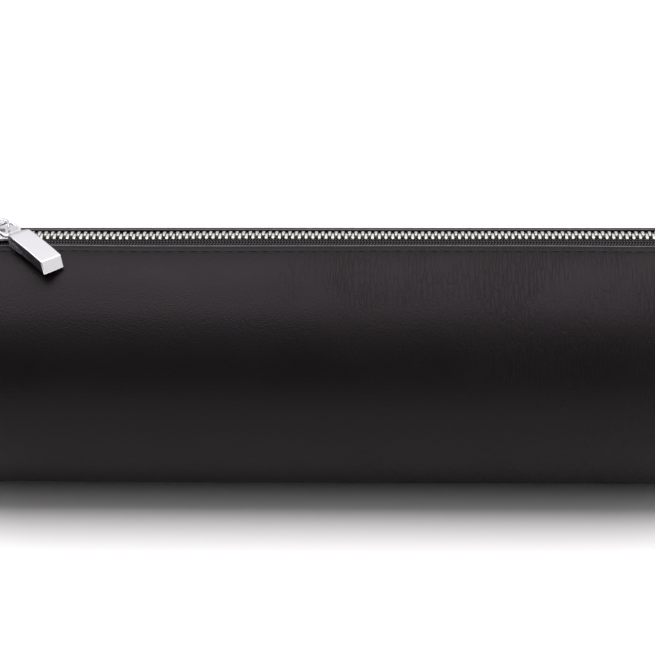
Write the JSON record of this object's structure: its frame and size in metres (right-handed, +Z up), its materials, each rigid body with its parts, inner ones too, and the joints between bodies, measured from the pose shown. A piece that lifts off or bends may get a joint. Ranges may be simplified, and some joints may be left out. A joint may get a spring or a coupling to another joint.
{
  "type": "pen_case",
  "caption": "Black leather barrel pen case lying on its side, closed by a nickel metal zip along the top with a heavy chrome bar pull",
  "frame": {"origin": "under the middle of the case, on the surface that it lies on", "axes": "+X along the case, away from the end where the closed zip's slider is; +Z up through the zip; the front faces -Y"},
  "size_m": [0.21, 0.07, 0.0768],
  "materials": {
    "leather": "smooth satin black calf with fine creases",
    "board": "leather board",
    "lining": "brushed dark grey cloth",
    "zip_tape": "black woven tape",
    "thread": "black twisted thread",
    "zip_metal": "nickel plated teeth",
    "chrome": "polished plating",
    "spring_steel": "spring steel"
  },
  "bodies": {
    "case": {"body_leather": "leather", "body_stiffener": "board", "body_lining": "lining", "left_end_leather": "leather", "left_end_stiffener": "board", "left_end_lining": "lining", "left_seam_binding": "zip_tape", "right_end_leather": "leather", "right_end_stiffener": "board", "right_end_lining": "lining", "right_seam_binding": "zip_tape", "front_top_stop": "zip_metal", "back_top_stop": "zip_metal", "bottom_stop": "zip_metal"},
    "front_lip": {"front_zip_tape": "zip_tape", "front_zip_teeth": "zip_metal"},
    "back_lip": {"back_zip_tape": "zip_tape", "back_zip_teeth": "zip_metal"},
    "slider": {"slider_body": "chrome", "slider_crown": "chrome"},
    "lock": {"lock_spring": "spring_steel"},
    "pull": {"pull_bar": "chrome"}
  },
  "joints": [
    {"name": "slider_slide", "type": "slide", "parent": "case", "child": "slider", "axis": [1, 0, 0], "range_m": [0, 0.18]},
    {"name": "front_lip_open", "type": "slide", "parent": "case", "child": "front_lip", "axis": [0, -1, 0], "range_m": [0, 0.0126], "deforming": ["front_zip_tape", "front_zip_teeth"]},
    {"name": "back_lip_open", "type": "slide", "parent": "case", "child": "back_lip", "axis": [0, 1, 0], "range_m": [0, 0.0126], "deforming": ["back_zip_tape", "back_zip_teeth"]},
    {"name": "pull_lift", "type": "hinge", "parent": "slider", "child": "pull", "pos_m": [-0.09, 0, 0.0753], "axis": [-0.6947, -0.7193, 0], "range_deg": [0, 140]},
    {"name": "lock_lift", "type": "slide", "parent": "slider", "child": "lock", "axis": [0, 0, 1], "range_m": [0, 0.0005]}
  ],
  "couplings": [
    {"joint": "front_lip_open", "follows": "slider_slide", "ratio": 0.07},
    {"joint": "back_lip_open", "follows": "slider_slide", "ratio": 0.07},
    {"joint": "lock_lift", "follows": "pull_lift", "m_per_rad": 0.0002}
  ]
}
